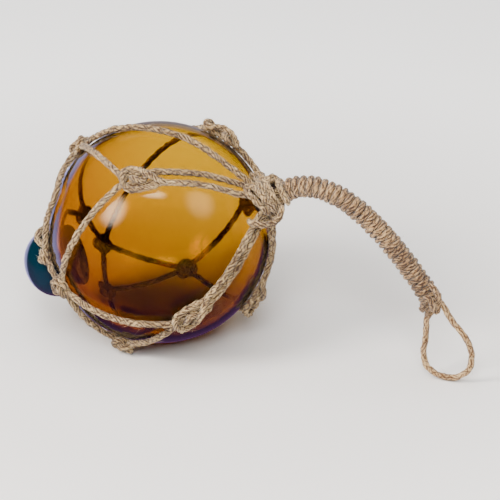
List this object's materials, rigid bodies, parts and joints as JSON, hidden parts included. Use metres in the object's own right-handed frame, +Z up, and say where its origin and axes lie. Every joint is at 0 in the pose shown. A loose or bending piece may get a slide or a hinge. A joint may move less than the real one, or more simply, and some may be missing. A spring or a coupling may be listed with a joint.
{
  "type": "glass float ball in a knotted rope net",
  "caption": "Decorative glass float: an amber ball sealed with a dark gob, in a knotted hemp net with a stiff wrapped handle and a hanging loop.",
  "frame": {"origin": "centre of the small flat on the underside of the glass ball, which the part lies on", "axes": "+X level, the way the handle points; +Z up"},
  "size_m": [0.3164, 0.15, 0.1535],
  "materials": {
    "amber_glass": "clear blown glass, amber, glossy, slightly wavy",
    "dark_glass": "thick blue-green glass, nearly black, glossy",
    "hemp_cord": "laid hemp cord, pale straw, dry and fuzzy",
    "hemp_serving": "laid hemp cord wound close, a little browner",
    "loop_cord": "laid hemp cord, straw, dry"
  },
  "bodies": {
    "root": {"glass_ball": "amber_glass", "seal_button": "dark_glass", "rope_net": "hemp_cord", "wrapped_handle": "hemp_serving", "hanging_loop": "loop_cord"}
  },
  "joints": []
}
